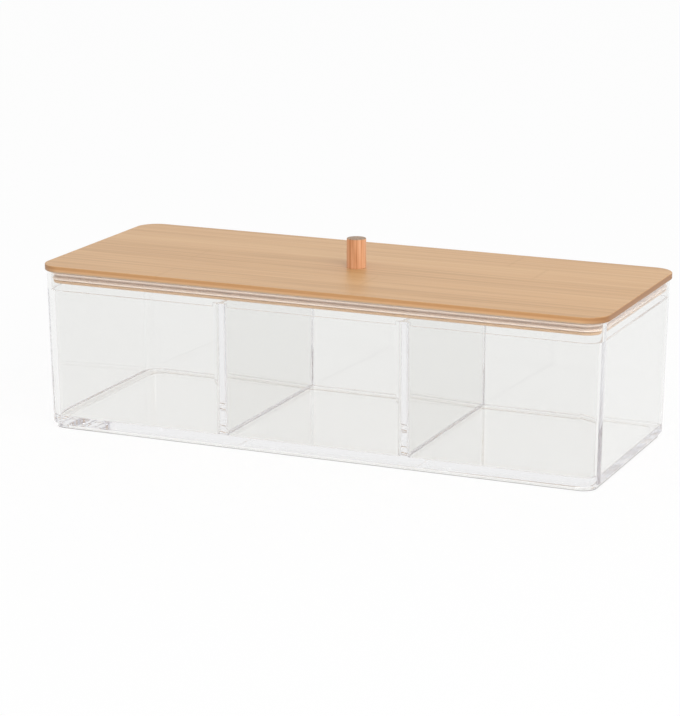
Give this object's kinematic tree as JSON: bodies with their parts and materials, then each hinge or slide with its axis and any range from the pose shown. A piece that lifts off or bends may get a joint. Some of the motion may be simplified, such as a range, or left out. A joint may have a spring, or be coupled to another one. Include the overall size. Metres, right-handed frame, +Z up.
{
  "type": "storage organizer",
  "caption": "Clear moulded storage box with upright dividers and a lift-off bamboo lid with a seal and a turned knob.",
  "frame": {"origin": "middle of the box's footprint, on the surface it stands on", "axes": "+X along the length, +Z up, -Y the front"},
  "size_m": [0.3, 0.1216, 0.1004],
  "materials": {
    "clear_plastic": "clear injection-moulded polystyrene, polished",
    "bamboo": "laminated bamboo, sanded and sealed satin",
    "seal_silicone": "translucent silicone, moulded",
    "bamboo_knob": "turned bamboo, sealed satin",
    "screw_steel": "zinc-plated steel"
  },
  "bodies": {
    "box": {"clear_box": "clear_plastic"},
    "lid": {"lid_board": "bamboo", "lid_seal": "seal_silicone", "knob": "bamboo_knob", "knob_screw": "screw_steel"}
  },
  "joints": [
    {"name": "lid_lift", "type": "slide", "parent": "box", "child": "lid", "axis": [0, 0, 1], "range_m": [0, 0.12]}
  ]
}
